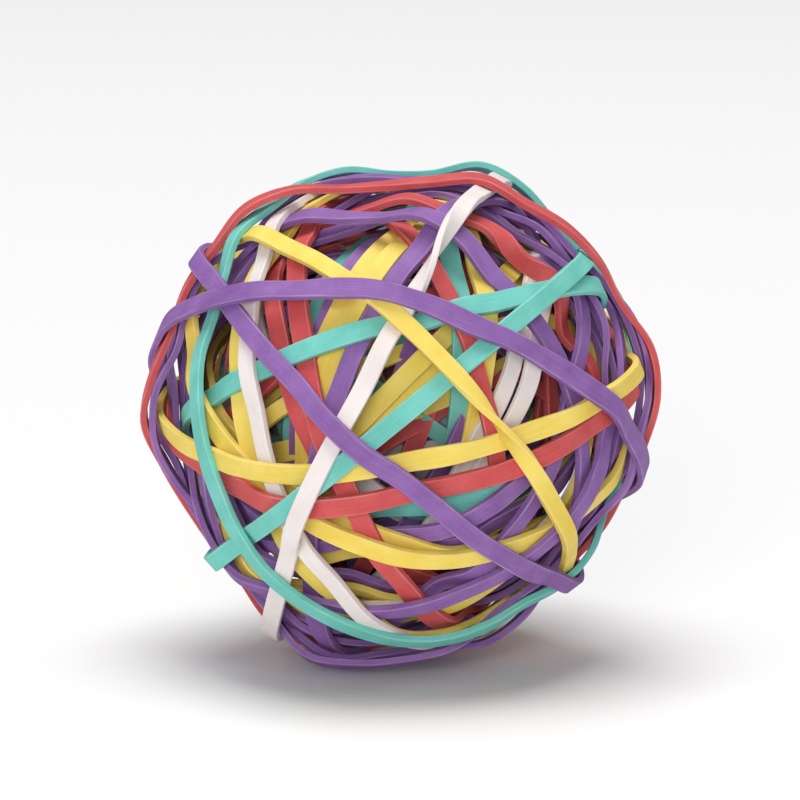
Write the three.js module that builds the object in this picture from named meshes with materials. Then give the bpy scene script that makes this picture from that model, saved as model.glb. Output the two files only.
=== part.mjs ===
// A desk ball wound from coloured rubber bands.
// Millimetres, +Z up, its lowest place on z = 0 and its front towards -Y.
import * as THREE from "three";

// Driving dimensions
const CORE_RADIUS = 20.5; // the part of the inner winding that no outer band can dent
const CORE_DETAIL = 8; // how finely the inner winding's icosahedron is divided
const CORE_FACET = 3.6; // a little more than the longest side of one of its facets
const NOMINAL_RADIUS = 33; // the radius at which widths and offsets are turned into angles
const THICKNESS = 0.7; // a stretched band's, measured away from the ball's centre
const GAP = 0.1; // left between two bands where one crosses the other
const DENT_GAP = 0.4; // left between the inner winding and a band that dents it
const SIDE_MARGIN = 0.55; // extra width, on each side, that is kept clear for a band
const STATIONS = 32; // cross-sections along one band
const LAYING_PLACES = 256; // places around a loop where it is tested against what is under it
const SETTLING_ROUNDS = 300; // how long the bands are left to pull themselves in
const FIRST_LEVEL = 24; // radius at which the winding carries the innermost outer band
const LAST_LEVEL = 30.5; // and the outermost
const FIRST_PULL = 0.3; // share of the way to straight that a band tightens in the first round
const TWIST_LENGTH = 33; // degrees of the loop that a half twist takes up
const FRONT_LIFT = 10; // degrees by which the ball's front, which faces -Y, looks upwards

const RUBBER = {
  purple: { color: "#8659a4", roughness: 0.55, metalness: 0 },
  yellow: { color: "#ebcd55", roughness: 0.55, metalness: 0 },
  teal: { color: "#66c6b6", roughness: 0.55, metalness: 0 },
  red: { color: "#cb4f55", roughness: 0.55, metalness: 0 },
  white: { color: "#ebe3df", roughness: 0.6, metalness: 0 },
};

// The outer bands in the order they were stretched over the ball, innermost first.
// Each loop lies nearly in a plane through the ball's centre. Bearing and reach, in degrees, say
// where it comes nearest to the middle of the front: bearing turns clockwise from the top and
// reach is how far out the place is. Offset moves the loop's plane off the ball's centre, towards
// that bearing. Twists are the places, in degrees around the loop from its nearest one and
// clockwise too, where the band turns over.
const BANDS = [
  // colour, bearing, reach, offset, width, twists
  ["red", 150, 7, 2, 2.4],
  ["red", 265, 55, 0, 2.6],
  ["white", 165, 41, 5, 2.6],
  ["red", 85, 54, -4, 2.8],
  ["white", 225, 25, 0, 2.8],
  ["purple", 278, 38, 8, 2.4],
  ["teal", 280, 34, 5, 2.6],
  ["purple", 283, 30, 3, 2.4],
  ["red", 335, 28, 4, 2.6],
  ["yellow", 338, 15, 0, 2.2],
  ["yellow", 285, 26, 1, 2.4],
  ["yellow", 288, 22, -1, 2.8],
  ["yellow", 312, 1, -2, 2.6],
  ["yellow", 315, 5, 3, 2.6],
  ["teal", 93, 18, 0, 2.8],
  ["yellow", 98, 23, 0, 2.6],
  ["white", 116, 25, 7, 2.3],
  ["white", 118, 30, 7, 2.3],
  ["red", 75, 23, 1, 2.3],
  ["yellow", 168, 43, 7, 2.6],
  ["teal", 172, 29, 0, 2.6],
  ["purple", 175, 38, 4, 2.4],
  ["purple", 160, 33, 2, 2.3],
  ["red", 243, 25, 3, 2.6],
  ["yellow", 200, 33, 2, 2.4],
  ["purple", 210, 60, 0, 2.6],
  ["yellow", 195, 64, 0, 2.6],
  ["white", 150, 62, -3, 2.6],
  ["yellow", 140, 61, 0, 2.4],
  ["purple", 10, 64, 0, 2.4],
  ["red", 40, 60, 0, 2.6, [0, 180]],
  ["purple", 125, 46, 0, 2.4],
  ["purple", 80, 72, 0, 2.4],
  ["purple", 95, 78, 0, 2.4],
  ["purple", 262, 72, 0, 2.4],
  ["purple", 290, 16, -4, 2.6],
  ["red", 250, 20, 0, 2.8],
  ["yellow", 248, 45, -3, 2.7],
  ["purple", 50, 46, -5, 2.6],
  ["teal", 344, 21, 6, 2.6],
  ["yellow", 197, 35, -5, 2.6],
  ["purple", 160, 53, -4, 2.5],
  ["white", 249, 37, 0, 2.4],
  ["red", 172, 22, -1.5, 2.7],
  ["yellow", 172, 14, -3, 2.5],
  ["purple", 262, 86, -2, 2.5],
  ["purple", 155, 76, 2, 2.6],
  ["teal", 141, 2, 0, 2.5],
  ["white", 296, 10, 1.5, 2.4, [40, 220]],
  ["yellow", 46, 15, -1, 2.4, [20, 200]],
  ["teal", 232, 54, -6, 2.4],
  ["red", 8, 74, 0, 2.6],
  ["purple", 221, 13, 2, 2.6],
  ["purple", 16, 25, 0, 2.7],
];

const radians = THREE.MathUtils.degToRad;
const fullTurn = 2 * Math.PI;
const STEP = fullTurn / STATIONS;

// A loop's own axes: its axis, the direction of its middle line's nearest place to the front,
// and the direction a quarter turn further on.
function loopAxes(bearing, reach, latitude) {
  const lift = radians(FRONT_LIFT);
  const front = new THREE.Vector3(0, -Math.cos(lift), Math.sin(lift));
  const right = new THREE.Vector3(1, 0, 0);
  const top = new THREE.Vector3().crossVectors(front, right);
  const outward = top.multiplyScalar(Math.cos(bearing)).addScaledVector(right, Math.sin(bearing));
  const fromFront = reach + Math.PI / 2 - latitude;
  const axis = outward.multiplyScalar(Math.sin(fromFront)).addScaledVector(front, Math.cos(fromFront));
  const start = front.projectOnPlane(axis).normalize();
  const side = new THREE.Vector3().crossVectors(axis, start);
  return { axis, start, side };
}

// The direction from the ball's centre at an angle around the loop and a latitude above its plane.
function directionOn(band, angle, latitude) {
  return new THREE.Vector3()
    .addScaledVector(band.start, Math.cos(angle) * Math.cos(latitude))
    .addScaledVector(band.side, Math.sin(angle) * Math.cos(latitude))
    .addScaledVector(band.axis, Math.sin(latitude));
}

// How far a band has turned over at an angle around its loop. Twists alternate in hand, so the
// loop closes flat.
function rollAt(band, angle) {
  const length = radians(TWIST_LENGTH);
  return band.twists.reduce((roll, place, index) => {
    const share = THREE.MathUtils.clamp((angle - radians(place)) / length + 0.5, 0, 1);
    return roll + (index % 2 ? -1 : 1) * Math.PI * share;
  }, 0);
}

// Half the height and half the width that a band takes up between two of its stations.
function halfSection(band, station) {
  const first = band.rolls[station];
  const second = band.rolls[(station + 1) % STATIONS];
  if (Math.sin(first) ** 2 + Math.sin(second) ** 2 > 1e-6) {
    const corner = Math.hypot(THICKNESS, band.width) / 2;
    return { height: corner, width: corner };
  }
  return { height: THICKNESS / 2, width: band.width / 2 };
}

// The station before an angle, and the angle past it.
function stationBefore(angle) {
  const whole = THREE.MathUtils.euclideanModulo(angle, fullTurn);
  const station = Math.min(Math.floor(whole / STEP), STATIONS - 1);
  return { station, past: whole - station * STEP };
}

// Distance from the centre to a straight chord, `past` radians after its first end.
function chordRadius(first, second, span, past) {
  return Math.sin(span) / (Math.sin(span - past) / first + Math.sin(past) / second);
}

// The distance from the centre to a band's middle line at a place on one of its straight runs.
function middleRadius(band, { station, past }) {
  return chordRadius(band.radii[station], band.radii[(station + 1) % STATIONS], STEP, past);
}

// Every place where one band lies over an earlier one, with the distance their middles keep.
function findContacts(bands) {
  const contacts = [];
  bands.forEach((upper, order) => {
    for (let place = 0; place < LAYING_PLACES; place += 1) {
      const angle = (place / LAYING_PLACES) * fullTurn;
      const upperAt = stationBefore(angle);
      const over = halfSection(upper, upperAt.station);
      const across = (over.width + SIDE_MARGIN) / NOMINAL_RADIUS;
      for (const share of [-1, -0.5, 0, 0.5, 1]) {
        const direction = directionOn(upper, angle, upper.latitude + share * across);
        for (const lower of bands.slice(0, order)) {
          const turn = Math.atan2(direction.dot(lower.side), direction.dot(lower.start));
          const lowerAt = stationBefore(turn);
          const under = halfSection(lower, lowerAt.station);
          const aside = Math.abs(Math.asin(direction.dot(lower.axis)) - lower.latitude);
          if (aside * NOMINAL_RADIUS < under.width + SIDE_MARGIN) {
            const distance = over.height + under.height + GAP;
            contacts.push({ upper, upperAt, lower, lowerAt, distance });
          }
        }
      }
    }
  });
  return contacts;
}

// Moves a band in or out at a place, by moving the stations on both sides of it.
function shift(band, { station, past }, amount) {
  const share = past / STEP;
  const scale = amount / ((1 - share) ** 2 + share ** 2);
  band.radii[station] += (1 - share) * scale;
  band.radii[(station + 1) % STATIONS] += share * scale;
}

// The least radius of a station from which both of its runs clear the core.
function floorRadius(band, station) {
  const height = Math.max(halfSection(band, station).height, halfSection(band, (station || STATIONS) - 1).height);
  return (CORE_RADIUS + GAP + height) / Math.cos(STEP / 2);
}

// Lets the stretched bands pull themselves in over each other. Each one tightens towards a
// straight run, down to its own level in the winding, and where two cross they push each
// other apart, which dents the winding under a heap of crossings.
function settle(bands, contacts) {
  for (let round = 0; round < SETTLING_ROUNDS; round += 1) {
    const pull = FIRST_PULL * (1 - round / SETTLING_ROUNDS);
    for (const band of bands) {
      band.radii = band.radii.map((radius, station) => {
        const after = band.radii[(station + 1) % STATIONS];
        const straight = chordRadius(band.radii.at(station - 1), after, 2 * STEP, STEP);
        const wanted = Math.max(straight, band.level);
        return Math.max(radius + pull * (wanted - radius), floorRadius(band, station));
      });
    }
    for (const { upper, upperAt, lower, lowerAt, distance } of contacts) {
      const missing = distance - middleRadius(upper, upperAt) + middleRadius(lower, lowerAt);
      if (missing > 0) {
        shift(upper, upperAt, missing / 2);
        shift(lower, lowerAt, -missing / 2);
      }
    }
  }
}

// Lifts each band, in winding order, by whatever it still lacks over the ones below.
function clear(bands, contacts) {
  for (const band of bands) {
    band.radii = band.radii.map((radius, station) => Math.max(radius, floorRadius(band, station)));
    const growth = new Array(STATIONS).fill(1);
    for (const { upper, upperAt, lower, lowerAt, distance } of contacts) {
      if (upper === band) {
        const needed = (middleRadius(lower, lowerAt) + distance) / middleRadius(band, upperAt);
        const next = (upperAt.station + 1) % STATIONS;
        growth[upperAt.station] = Math.max(growth[upperAt.station], needed);
        growth[next] = Math.max(growth[next], needed);
      }
    }
    band.radii = band.radii.map((radius, station) => radius * growth[station]);
  }
}

// The closed solid of a laid band: a ring of rectangular sections joined one to the next.
function bandShape(band) {
  const positions = [];
  for (let station = 0; station < STATIONS; station += 1) {
    const angle = (station / STATIONS) * fullTurn;
    const outward = directionOn(band, angle, band.latitude);
    const across = directionOn(band, angle, band.latitude + Math.PI / 2);
    const middle = outward.clone().multiplyScalar(band.radii[station]);
    const roll = band.rolls[station];
    for (const [high, wide] of [[1, 1], [1, -1], [-1, -1], [-1, 1]]) {
      const up = (high * THICKNESS) / 2;
      const aside = (wide * band.width) / 2;
      const corner = middle
        .clone()
        .addScaledVector(outward, up * Math.cos(roll) - aside * Math.sin(roll))
        .addScaledVector(across, up * Math.sin(roll) + aside * Math.cos(roll));
      positions.push(corner.x, corner.y, corner.z);
    }
  }
  const faces = [];
  for (let station = 0; station < STATIONS; station += 1) {
    const here = 4 * station;
    const next = 4 * ((station + 1) % STATIONS);
    for (let side = 0; side < 4; side += 1) {
      const other = (side + 1) % 4;
      faces.push(here + side, here + other, next + other);
      faces.push(here + side, next + other, next + side);
    }
  }
  const shape = new THREE.BufferGeometry();
  shape.setAttribute("position", new THREE.Float32BufferAttribute(positions, 3));
  shape.setIndex(faces);
  shape.computeVertexNormals();
  return shape;
}

// The radius of a band's underside at its lowest, near an angle around its loop.
function undersideNear(band, angle) {
  const around = CORE_FACET / FIRST_LEVEL;
  const places = [angle - around, angle, angle + around].map(stationBefore);
  return Math.min(...places.map((at) => middleRadius(band, at) - halfSection(band, at.station).height));
}

// The tightly wound middle of the ball as one solid, dented wherever the outer bands press in.
function innerWinding(bands) {
  const shape = new THREE.IcosahedronGeometry(1, CORE_DETAIL);
  const corners = shape.getAttribute("position");
  for (let index = 0; index < corners.count; index += 1) {
    const direction = new THREE.Vector3().fromBufferAttribute(corners, index).normalize();
    let radius = FIRST_LEVEL;
    for (const band of bands) {
      const aside = Math.abs(Math.asin(direction.dot(band.axis)) - band.latitude) * NOMINAL_RADIUS;
      if (aside < band.width / 2 + CORE_FACET) {
        const turn = Math.atan2(direction.dot(band.side), direction.dot(band.start));
        radius = Math.min(radius, undersideNear(band, turn) - DENT_GAP);
      }
    }
    corners.setXYZ(index, ...direction.multiplyScalar(radius).toArray());
  }
  shape.computeVertexNormals();
  const mesh = new THREE.Mesh(shape, new THREE.MeshStandardMaterial(RUBBER.purple));
  mesh.name = "inner_winding";
  return mesh;
}

// A band of the list, as it is before it has pulled itself in.
function looseBand([colour, bearing, reach, offset, width, twists = []], order) {
  const latitude = Math.asin(offset / NOMINAL_RADIUS);
  const band = { colour, width, twists, latitude, ...loopAxes(radians(bearing), radians(reach), latitude) };
  band.rolls = Array.from({ length: STATIONS }, (_, station) => rollAt(band, station * STEP));
  band.level = THREE.MathUtils.mapLinear(order, 0, BANDS.length - 1, FIRST_LEVEL, LAST_LEVEL);
  band.radii = new Array(STATIONS).fill(band.level);
  return band;
}

// The outer bands as meshes, numbered by colour in winding order.
function bandMeshes(bands) {
  const counts = {};
  return bands.map((band) => {
    counts[band.colour] = (counts[band.colour] ?? 0) + 1;
    const mesh = new THREE.Mesh(bandShape(band), new THREE.MeshStandardMaterial(RUBBER[band.colour]));
    mesh.name = `${band.colour}_band_${String(counts[band.colour]).padStart(2, "0")}`;
    return mesh;
  });
}

// The wound ball, over the middle of z = 0 and touching it with its lowest band.
function rubberBandBall() {
  const bands = BANDS.map(looseBand);
  const contacts = findContacts(bands);
  settle(bands, contacts);
  clear(bands, contacts);
  const ball = new THREE.Group();
  ball.name = "rubber_band_ball";
  ball.add(innerWinding(bands), ...bandMeshes(bands));
  const extent = new THREE.Box3().setFromObject(ball, true);
  const middle = extent.getCenter(new THREE.Vector3());
  ball.position.set(-middle.x, -middle.y, -extent.min.z);
  return ball;
}

export default rubberBandBall();
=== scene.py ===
# %% [markdown]
# # A desk ball wound from coloured rubber bands
#
# The real thing is nothing but rubber bands: a tight heart of folded bands, and then loop after loop
# stretched once around it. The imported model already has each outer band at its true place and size, as a
# loop with a plain rectangular section. This script keeps those places and gives every band the look of
# rubber: cut edges, a slightly uneven width, a lazy roll from side to side, and a dusty dyed finish. The
# heart can't be seen as a whole, so only the jumble of bands at its surface is made.

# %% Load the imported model
import math

import bpy
import numpy as np
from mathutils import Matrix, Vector


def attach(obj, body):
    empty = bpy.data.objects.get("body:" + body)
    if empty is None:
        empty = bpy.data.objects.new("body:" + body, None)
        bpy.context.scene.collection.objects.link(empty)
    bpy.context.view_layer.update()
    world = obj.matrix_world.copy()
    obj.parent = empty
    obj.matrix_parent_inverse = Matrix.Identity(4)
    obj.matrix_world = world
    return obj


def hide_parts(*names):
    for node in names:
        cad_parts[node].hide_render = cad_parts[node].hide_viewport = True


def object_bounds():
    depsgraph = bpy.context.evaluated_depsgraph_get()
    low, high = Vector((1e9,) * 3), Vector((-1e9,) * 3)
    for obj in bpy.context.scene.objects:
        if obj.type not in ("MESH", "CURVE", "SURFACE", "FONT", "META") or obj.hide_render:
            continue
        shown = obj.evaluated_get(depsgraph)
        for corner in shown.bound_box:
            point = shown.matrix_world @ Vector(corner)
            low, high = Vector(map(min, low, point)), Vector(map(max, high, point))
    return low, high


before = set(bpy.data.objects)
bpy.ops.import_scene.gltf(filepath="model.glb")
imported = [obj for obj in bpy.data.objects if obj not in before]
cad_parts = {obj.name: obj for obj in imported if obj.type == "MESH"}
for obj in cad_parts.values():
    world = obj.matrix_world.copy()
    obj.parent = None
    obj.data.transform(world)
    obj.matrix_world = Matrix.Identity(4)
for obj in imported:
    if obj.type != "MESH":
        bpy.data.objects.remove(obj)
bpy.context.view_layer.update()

MM = 0.001
NODES = sorted(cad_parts)
BANDS = [name for name in NODES if "_band_" in name]

# %% [markdown]
# ## Where the middle of the ball is
#
# A band is easiest to describe from the ball's centre, so that comes first. The inner winding is a sphere
# with dents in it. Its undented corners all lie at the same distance from the centre, so a sphere is fitted
# through the farthest ones. A few rounds are enough, because each round sorts out more of the dents.


# %% Fit the centre
FITTING_ROUNDS = 6
FAR_FROM = 0.8  # share of the winding's corners that each round leaves out as too near


def corners_of(node):
    """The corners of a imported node, each one once, in metres."""
    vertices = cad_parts[node].data.vertices
    flat = np.empty(3 * len(vertices))
    vertices.foreach_get("co", flat)
    return np.unique(flat.reshape(-1, 3).round(6), axis=0)


def fitted_sphere(points):
    """Centre and radius of the sphere that fits the points best."""
    terms = np.column_stack([2 * points, np.ones(len(points))])
    answer = np.linalg.lstsq(terms, (points**2).sum(axis=1), rcond=None)[0]
    centre = answer[:3]
    return centre, math.sqrt(answer[3] + centre @ centre)


winding = corners_of("inner_winding")
CENTRE = (winding.min(axis=0) + winding.max(axis=0)) / 2
for _ in range(FITTING_ROUNDS):
    distance = np.linalg.norm(winding - CENTRE, axis=1)
    far = winding[distance > np.quantile(distance, FAR_FROM)]
    CENTRE, HEART_RADIUS = fitted_sphere(far)
print(f"centre at {(CENTRE / MM).round(2)} mm, heart radius {HEART_RADIUS / MM:.2f} mm")

# %% [markdown]
# ## Reading a band back from its node
#
# Each packed band is a ring of rectangular sections. Every section lies in a half plane through the loop's
# own axis, so its four corners share one angle around that axis. Sorting the corners by that angle gives
# the sections in order. In a section, the nearest neighbour of a corner is across the thickness, and the
# next is across the width.


# %% Sections of a packed band
def unit(vectors):
    """Each vector at a length of 1."""
    return vectors / np.linalg.norm(vectors, axis=-1, keepdims=True)


def same_way(vectors):
    """Flips each vector that points against the one before it."""
    turned = [vectors[0]]
    for vector in vectors[1:]:
        turned.append(vector if vector @ turned[-1] > 0 else -vector)
    return np.array(turned)


def sections_of(node):
    """Middles, width vectors and thickness of the sections around a band."""
    corners = corners_of(node) - CENTRE
    heading = unit(corners)
    axis = np.linalg.svd(heading - heading.mean(axis=0))[2][2]
    start = unit(np.cross(axis, [0.31, 0.52, 0.79]))  # any direction would do but a band's own axis
    side = np.cross(axis, start)
    turn = np.arctan2(corners @ side, corners @ start)
    order = np.argsort(turn)
    gaps = np.diff(turn[order], append=turn[order[0]] + 2 * math.pi)
    order = np.roll(order, -1 - int(np.argmax(gaps)))
    rings = corners[order].reshape(-1, 4, 3)
    widths = []
    thickness = []
    for ring in rings:
        edges = ring - ring[0]
        ranked = np.argsort(np.linalg.norm(edges, axis=1))
        thickness.append(np.linalg.norm(edges[ranked[1]]))
        widths.append(edges[ranked[2]])
    return rings.mean(axis=1), same_way(widths), float(np.mean(thickness))


middles, widths, thickness = sections_of(BANDS[0])
print(f"{BANDS[0]}: {len(middles)} sections, {np.linalg.norm(widths[0]) / MM:.2f} x {thickness / MM:.2f} mm")

# %% [markdown]
# ## A finer loop
#
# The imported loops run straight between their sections. Real rubber bends smoothly over the band below, so
# the sections are joined by a closed Catmull-Rom curve, which passes through every one of them. Bands also
# roll and swell a little on their way. `wander` gives numbers for that: it adds up waves that each fit a
# whole number of times around the loop, so the sum closes on itself.


# %% Smooth closed curves
STEPS = 224  # sections around one finished band


def refined(values, count=STEPS):
    """A closed list of vectors, resampled along a Catmull-Rom curve."""
    at = np.arange(count) * len(values) / count
    index = at.astype(int)
    share = (at - index)[:, None]
    a, b, c, d = (values[(index + shift) % len(values)] for shift in (-1, 0, 1, 2))
    return 0.5 * (2 * b + (c - a) * share + (2 * a - 5 * b + 4 * c - d) * share**2
                  + (3 * (b - c) + d - a) * share**3)


def wander(rng, waves, count=STEPS):
    """A smooth closed random wave that mostly stays between -1 and 1."""
    angle = np.linspace(0, 2 * math.pi, count, endpoint=False)[:, None]
    number = np.arange(1, waves + 1)
    height = rng.normal(size=waves) / math.sqrt(waves)
    return (height * np.sin(number * angle + rng.uniform(0, 2 * math.pi, waves))).sum(axis=1)


print(f"{STEPS / len(middles):.0f} finished sections for each packed one")


# %% [markdown]
# ## The section of a rubber band
#
# Bands are cut from a tube, so the faces are flat and the corners nearly sharp. The outline below has a
# tiny round at each corner, with an extra point on each side of it: the shading then stays flat across the
# faces, and only the corner catches a line of light.


# %% Section outline
CORNER = 0.13 * MM  # radius of the round at a cut corner
SUPPORT = 0.1 * MM  # how far from the round its extra points lie


def outline(width, thickness):
    """Points of the section as (across, outward), and how much each belongs to a corner."""
    points = []
    worn = []
    for quarter, (across, outward) in enumerate([(1, 1), (-1, 1), (-1, -1), (1, -1)]):
        hub = np.array([across * (width / 2 - CORNER), outward * (thickness / 2 - CORNER)])
        turns = math.pi / 2 * quarter + np.array([0, math.pi / 4, math.pi / 2])
        rim = hub + CORNER * np.column_stack([np.cos(turns), np.sin(turns)])
        travel = SUPPORT * np.column_stack([-np.sin(turns), np.cos(turns)])
        points += [rim[0] - travel[0], *rim, rim[2] + travel[2]]
        worn += [0, 1, 1, 1, 0]
    return np.array(points), np.array(worn, float)


print(f"{len(outline(2 * MM, 1 * MM)[0])} points around a section")


# %% [markdown]
# ## Sweeping the section
#
# The section is carried around the loop and turned so that it always faces along it. Each mesh also stores
# two things for its material: a UV map in millimetres, along the band and around its section, and a value
# that is 1 on the cut corners, where the material paints a pale highlight line.


# %% Sweep
def swept_mesh(name, path, across, points, worn):
    """A closed mesh of the section carried around a closed path."""
    count, sides = len(path), points.shape[-2]
    ahead = unit(np.roll(path, -1, axis=0) - np.roll(path, 1, axis=0))
    outward = unit(np.cross(ahead, across))
    across = np.cross(outward, ahead)
    if points.ndim == 2:
        points = np.broadcast_to(points, (count, sides, 2))
    rings = path[:, None] + points[..., :1] * across[:, None] + points[..., 1:] * outward[:, None]
    ring = np.arange(count)[:, None] * sides
    after = (np.arange(count)[:, None] + 1) % count * sides
    side = np.arange(sides)
    other = (side + 1) % sides
    faces = np.stack([ring + side, ring + other, after + other, after + side], axis=-1).reshape(-1, 4)
    mesh = bpy.data.meshes.new(name)
    mesh.from_pydata((rings.reshape(-1, 3) + CENTRE).tolist(), [], faces.tolist())
    mesh.shade_smooth()
    along = np.linalg.norm(np.roll(path, -1, axis=0) - path, axis=1)
    along = np.concatenate([[0], np.cumsum(along)]) / MM
    around = np.linalg.norm(np.roll(points[0], -1, axis=0) - points[0], axis=1)
    around = np.concatenate([[0], np.cumsum(around)]) / MM
    u = np.stack([along[:-1], along[:-1], along[1:], along[1:]], axis=-1)[:, None]
    v = np.stack([around[:-1], around[1:], around[1:], around[:-1]], axis=-1)[None]
    uv = np.stack(np.broadcast_arrays(u, v), axis=-1)
    mesh.uv_layers.new(name="UVMap").uv.foreach_set("vector", uv.astype(np.float32).ravel())
    corner_highlight_layer = mesh.attributes.new("worn", "FLOAT", "POINT")
    corner_highlight_layer.data.foreach_set("value", np.tile(worn, count).astype(np.float32))
    return mesh


def shown(mesh):
    """Puts a mesh into the scene as an object."""
    piece = bpy.data.objects.new(mesh.name, mesh)
    bpy.context.scene.collection.objects.link(piece)
    return piece


# %% [markdown]
# ## Shader maths as Python
#
# A rubber finish needs a fair amount of mixing and scaling. Written as nodes by hand, that is long and hard
# to read. One small class wraps a socket, so that `1 - mask * 0.5` adds the Math nodes for it, and one
# method adds any other node.


# %% Socket maths
class Signal:
    """A socket of a material's node tree that takes part in Python sums."""

    def __init__(self, tree, socket):
        self.tree = tree
        self.socket = socket

    def node(self, kind, settings=None, output=0, **inputs):
        """Adds a node, sets it up, feeds its sockets and returns one of its outputs."""
        made = self.tree.nodes.new(kind)
        for name, value in (settings or {}).items():
            if name == "stops":
                fill_ramp(made.color_ramp, value)
            else:
                setattr(made, name, value)
        for name, value in inputs.items():
            numbered = name[1:].isdigit()  # i0 is the first socket, for nodes whose sockets share a name
            socket = made.inputs[int(name[1:]) if numbered else name.replace("_", " ")]
            if isinstance(value, Signal):
                self.tree.links.new(value.socket, socket)
            else:
                socket.default_value = value
        return Signal(self.tree, made.outputs[output])

    def maths(self, operation, a, b=0.0):
        """One Math node on values."""
        return self.node("ShaderNodeMath", {"operation": operation}, i0=a, i1=b)

    def __add__(self, other):
        return self.maths("ADD", self, other)

    def __sub__(self, other):
        return self.maths("SUBTRACT", self, other)

    def __mul__(self, other):
        return self.maths("MULTIPLY", self, other)

    def __rsub__(self, other):
        return self.maths("SUBTRACT", other, self)

    __radd__ = __add__
    __rmul__ = __mul__

    def between(self, low, high):
        """0 below low, 1 above high, and smooth from one to the other."""
        settings = {"interpolation_type": "SMOOTHSTEP"}
        return self.node("ShaderNodeMapRange", settings, Value=self, From_Min=low, From_Max=high)

    def tinted(self, colour, share):
        """This colour, mixed towards another one by a share."""
        return self.node("ShaderNodeMix", {"data_type": "RGBA"}, 2, i0=share, i6=self, i7=colour)


def fill_ramp(ramp, stops):
    """Gives a colour ramp its stops, as pairs of position and colour."""
    while len(ramp.elements) < len(stops):
        ramp.elements.new(1.0)
    for element, (position, colour) in zip(ramp.elements, stops):
        element.position = position
        element.color = colour


# %% [markdown]
# ## Dyed rubber
#
# Stretched rubber is matt with a soft sheen. Close up it shows fine streaks along the band, from the knife
# that cut it, a cloudy dye and a dust of talc. The cut corners get a painted highlight, a pale streaky line
# where light would catch them. The corners come from the value stored on the mesh, and the rest is noise at
# different scales. The streaks use the UV map, so they follow the band wherever it goes.
#
# Hardly any light finds its way between the bands. Soft lamps alone leave those gaps too pale, so a
# painted shade also makes the dye darker towards the ball's centre. That is a help to the light and not a
# real stain.

# %% Rubber finish
DYES = {
    "purple": ((0.22, 0.095, 0.33), (0.3, 0.15, 0.43)),
    "yellow": ((0.85, 0.62, 0.09), (0.92, 0.72, 0.17)),
    "teal": ((0.14, 0.53, 0.45), (0.2, 0.63, 0.56)),
    "red": ((0.58, 0.07, 0.075), (0.68, 0.11, 0.11)),
    "white": ((0.8, 0.72, 0.69), (0.88, 0.81, 0.79)),
}
# pale talc colour, used for the dust and for the painted highlight on the cut corners
TALC_AND_HIGHLIGHT = (0.9, 0.86, 0.86, 1)
SHADE = (0.02, 0.012, 0.016, 1)
SHADE_BELOW = 25.5 * MM  # distance from the ball's centre where the painted shade starts to darken the dye
SHADE_FULL = 22.5 * MM  # and where it is darkest


def rubber(colour):
    """A material of dyed rubber."""
    material = bpy.data.materials.new(f"{colour}_rubber")
    material.use_nodes = True
    tree = material.node_tree
    shader = tree.nodes["Principled BSDF"]
    start = Signal(tree, None)
    place = start.node("ShaderNodeTexCoord", output=3)
    flat = start.node("ShaderNodeUVMap", {"uv_map": "UVMap"})
    worn = start.node("ShaderNodeAttribute", {"attribute_name": "worn"}, output=2)

    cloud = start.node("ShaderNodeTexNoise", Vector=place, Scale=260.0, Detail=3.0)
    grain = start.node("ShaderNodeTexNoise", Vector=place, Scale=5200.0, Detail=2.0)
    stretched = start.node("ShaderNodeMapping", Vector=flat, Scale=(0.09, 3.2, 1.0))
    streak = start.node("ShaderNodeTexNoise", Vector=stretched, Scale=1.6, Detail=4.0, Roughness=0.65)

    dark, light = (stop + (1,) for stop in DYES[colour])
    tone = cloud * 0.55 + streak * 0.45
    dye = start.node("ShaderNodeValToRGB", {"stops": [(0.38, dark), (0.62, light)]}, Fac=tone)
    # Talc dust, plus a painted highlight: a pale, streaky line along the cut corners.
    talc_and_highlight = grain.between(0.6, 0.72) * 0.06 + worn * streak.between(0.35, 0.7) * 0.2
    # Painted shade: the colour darkens towards the ball's centre, where little light reaches between the
    # bands.
    apart = start.node("ShaderNodeVectorMath", {"operation": "DISTANCE"}, 1, i0=place, i1=CENTRE.tolist())
    deep = 1 - apart.between(SHADE_FULL, SHADE_BELOW)
    colour_out = dye.tinted(TALC_AND_HIGHLIGHT, talc_and_highlight).tinted(SHADE, deep * 0.9)
    tree.links.new(colour_out.socket, shader.inputs["Base Color"])

    dull = cloud * 0.16 + grain * 0.1 + 0.5
    tree.links.new(dull.socket, shader.inputs["Roughness"])
    relief = start.node("ShaderNodeBump", Height=streak * 0.7 + grain * 0.3, Strength=0.22, Distance=0.00006)
    tree.links.new(relief.socket, shader.inputs["Normal"])
    shader.inputs["Specular IOR Level"].default_value = 0.3  # matt
    return material


RUBBER = {colour: rubber(colour) for colour in DYES}
print("rubber in", ", ".join(RUBBER))

# %% [markdown]
# ## The outer bands
#
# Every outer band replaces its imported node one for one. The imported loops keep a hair's gap where they
# cross, and real ones press into each other. So the finished bands are made almost a third thicker than
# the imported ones, and all of the extra lies on the inside: that closes the gap and sinks each band slightly
# into the one below, and the ball keeps its size. Each band also leans a little one way and the other,
# which shows its cut edge here and there, and it is never quite equally wide.

# %% Wind the outer bands
PRESSED = 1.3  # finished thickness over packed thickness
LEAN = math.radians(8)  # how far a band usually rolls from side to side
LEAN_WAVES = 9
UNEVEN = 0.035  # share by which its width usually wanders
UNEVEN_WAVES = 14


def leaned(across, path, roll):
    """Width vectors turned about the band's own direction."""
    ahead = unit(np.roll(path, -1, axis=0) - np.roll(path, 1, axis=0))
    across = unit(across - (across * ahead).sum(axis=1, keepdims=True) * ahead)
    outward = np.cross(ahead, across)
    return np.cos(roll)[:, None] * across + np.sin(roll)[:, None] * outward


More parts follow.
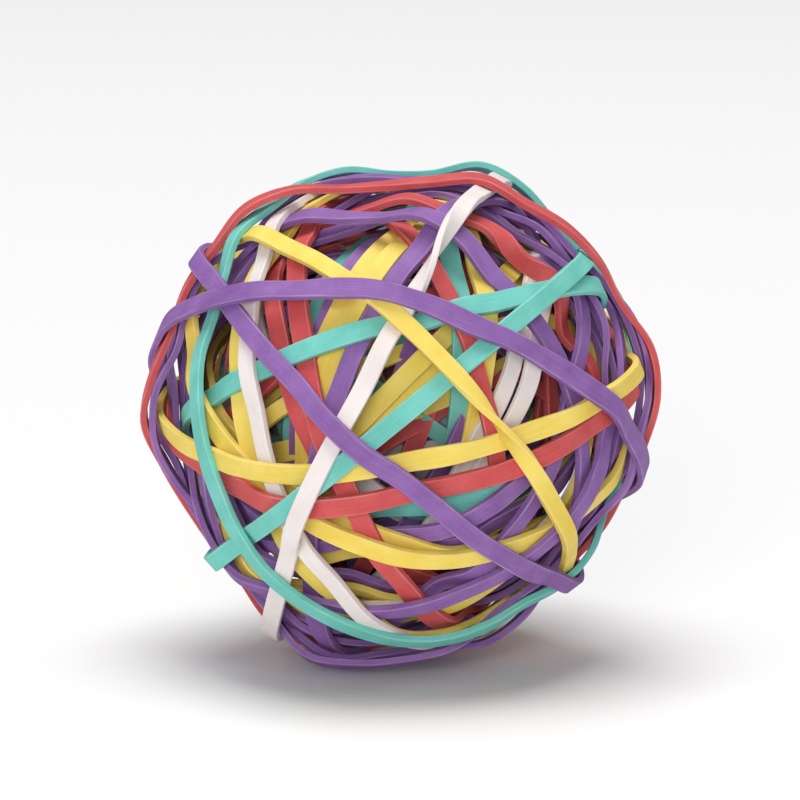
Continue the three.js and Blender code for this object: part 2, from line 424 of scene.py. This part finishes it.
def outer_band(node, seed):
    """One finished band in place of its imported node."""
    rng = np.random.default_rng(seed)
    middles, widths, thickness = sections_of(node)
    inward = thickness * (PRESSED - 1) / 2
    path = refined(middles - inward * unit(middles))
    across = leaned(refined(widths), path, LEAN * wander(rng, LEAN_WAVES))
    width = float(np.linalg.norm(widths, axis=1).mean())
    points, worn = outline(width, thickness * PRESSED)
    swell = 1 + UNEVEN * wander(rng, UNEVEN_WAVES)
    varied = points[None] * np.stack([swell, np.ones(STEPS)], axis=-1)[:, None]
    band = shown(swept_mesh(f"wound_{node}", path, across, varied, worn))
    colour = node.split("_")[0]
    band.data.materials.append(RUBBER[colour])
    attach(band, "root")
    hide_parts(node)
    return band


outer = [outer_band(node, seed) for seed, node in enumerate(BANDS, start=1)]
print(f"{len(outer)} outer bands, {sum(len(band.data.polygons) for band in outer) * 2} triangles")

# %% [markdown]
# ## The inner winding
#
# Between the outer bands the eye drops into a jumble of earlier ones, packed so closely that no gap goes
# right through. Modelling how each was folded would add nothing that shows. The jumble is bands of all five
# colours, each on its own random plane, in layers that rise to the level of the undented winding. Some of
# them pass through each other and through the deepest outer bands. It is dark down there, which hides much
# of that, but not all. One object for each colour keeps the count of pieces low.

# %% Wind the jumble
JUMBLE = 110  # bands in the jumble
JUMBLE_STEPS = 90  # sections around one of them
DEPTH = 3.2 * MM  # how deep the jumble goes
JUMBLE_THICKNESS = 0.8 * MM
JUMBLE_WIDTHS = (2.0 * MM, 2.8 * MM)
JUMBLE_OFFSET = 0.08  # how far a band's plane usually lies off the centre, in radians
JUMBLE_HEAVE = 0.35 * MM  # how far it rises and sinks along its way
HEAVE_WAVES = 12
JUMBLE_LEAN = math.radians(9)  # how far it usually rolls from side to side
JUMBLE_LEAN_WAVES = 8
SHARES = {"purple": 0.27, "yellow": 0.23, "teal": 0.16, "red": 0.18, "white": 0.16}


def jumble_band(rng, rank):
    """Path, width vectors and width of one band of the jumble. Rank runs from 0, deepest, to 1."""
    axis = unit(rng.normal(size=3))
    start = unit(np.cross(axis, rng.normal(size=3)))
    side = np.cross(axis, start)
    angle = np.linspace(0, 2 * math.pi, JUMBLE_STEPS, endpoint=False)[:, None]
    tilt = rng.normal() * JUMBLE_OFFSET
    level = HEART_RADIUS - DEPTH + DEPTH * rank
    radius = level + JUMBLE_HEAVE * wander(rng, HEAVE_WAVES, JUMBLE_STEPS)[:, None]
    ring = start * np.cos(angle) + side * np.sin(angle)
    path = radius * unit(ring * math.cos(tilt) + axis * math.sin(tilt))
    across = unit(np.cross(path, np.roll(path, -1, axis=0) - path))
    across = leaned(across, path, JUMBLE_LEAN * wander(rng, JUMBLE_LEAN_WAVES, JUMBLE_STEPS))
    return path, across, rng.uniform(*JUMBLE_WIDTHS)


def joined(name, parts):
    """One object from several meshes."""
    pieces = [shown(mesh) for mesh in parts]
    with bpy.context.temp_override(active_object=pieces[0], selected_editable_objects=pieces):
        bpy.ops.object.join()
    pieces[0].name = name
    pieces[0].data.name = name
    return pieces[0]


rng = np.random.default_rng(66)  # any seed does, but it has to stay the same
colours = rng.choice(list(SHARES), size=JUMBLE, p=list(SHARES.values()))
jumble = {colour: [] for colour in SHARES}
for number, colour in enumerate(colours):
    path, across, width = jumble_band(rng, number / JUMBLE)
    points, worn = outline(width, JUMBLE_THICKNESS)
    jumble[colour].append(swept_mesh(f"jumble_{number}", path, across, points, worn))
for colour, parts in jumble.items():
    piece = joined(f"inner_{colour}_bands", parts)
    piece.data.materials.append(RUBBER[colour])
    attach(piece, "root")
    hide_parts("inner_winding")
    print(f"inner {colour}: {len(parts)} bands, {len(piece.data.polygons) * 2} triangles")

# %% [markdown]
# ## Floor and light
#
# The ball sits on a plain pale floor. One broad softbox hangs high above it, so its shadow is a soft pool
# that spreads nearly evenly around its foot. A second one stands low in front and fills the faces that look
# forward. It is so low that its own shadow falls behind the ball.

# %% Floor
floor_mesh = bpy.data.meshes.new("floor")
FLOOR_REACH = 6.0  # from its middle to each side
floor_corners = [(x * FLOOR_REACH, y * FLOOR_REACH, 0) for x, y in ((-1, -1), (1, -1), (1, 1), (-1, 1))]
floor_mesh.from_pydata(floor_corners, [], [(0, 1, 2, 3)])
floor = shown(floor_mesh)
floor.location.z = min(0.0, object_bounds()[0].z)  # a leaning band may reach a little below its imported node
print(f"floor {-floor.location.z / MM:.2f} mm below the packed model's foot")
paper = bpy.data.materials.new("pale_floor")
paper.use_nodes = True
paper_shader = paper.node_tree.nodes["Principled BSDF"]
paper_shader.inputs["Base Color"].default_value = (0.9, 0.9, 0.9, 1)
paper_shader.inputs["Roughness"].default_value = 0.9
floor_mesh.materials.append(paper)

# %% Soft studio light
world = bpy.data.worlds.new("studio")
world.use_nodes = True
sky = world.node_tree.nodes["Background"]
sky.inputs["Color"].default_value = (1, 1, 1, 1)
sky.inputs["Strength"].default_value = 0.28
bpy.context.scene.world = world


def softbox(name, place, size, power):
    """A square area light that faces the middle of the ball."""
    light = bpy.data.lights.new(name, "AREA")
    light.shape = "SQUARE"
    light.size = size
    light.energy = power
    lamp = bpy.data.objects.new(name, light)
    lamp.location = Vector(CENTRE) + Vector(place)
    lamp.rotation_euler = (-Vector(place)).to_track_quat("-Z", "Y").to_euler()
    bpy.context.scene.collection.objects.link(lamp)


softbox("key_softbox", (-0.15, 0.1, 3.5), 2.4, 108.0)
softbox("fill_softbox", (-0.25, -1.7, 0.5), 0.7, 12.5)
print("two softboxes, above and in front")

# The plain transform keeps dyed colours as bright as they are. The default one greys them.
bpy.context.scene.view_settings.view_transform = "Standard"

# %% [markdown]
# ## Camera
#
# The camera looks slightly down at the ball's front. A long lens shows it with little perspective, which
# keeps its rim round and its near bands from looking much wider than the far ones.

# %% Camera
ELEVATION = math.radians(10)
DISTANCE = 0.62  # from the ball's middle
LENS = 210.0  # focal length in millimetres
AIM_ABOVE = 0.9 * MM  # the camera looks this far above the ball's centre
camera_data = bpy.data.cameras.new("camera")
camera_data.lens = LENS
camera_data.clip_start = 0.01
camera_data.clip_end = 100
camera = bpy.data.objects.new("camera", camera_data)
back = Vector((0, -math.cos(ELEVATION), math.sin(ELEVATION)))
aim = Vector(CENTRE) + Vector((0, 0, AIM_ABOVE))
camera.location = aim + back * DISTANCE
camera.rotation_euler = (-back).to_track_quat("-Z", "Y").to_euler()
bpy.context.scene.collection.objects.link(camera)
bpy.context.scene.camera = camera
print(f"camera {DISTANCE} m away with a {LENS:.0f} mm lens")
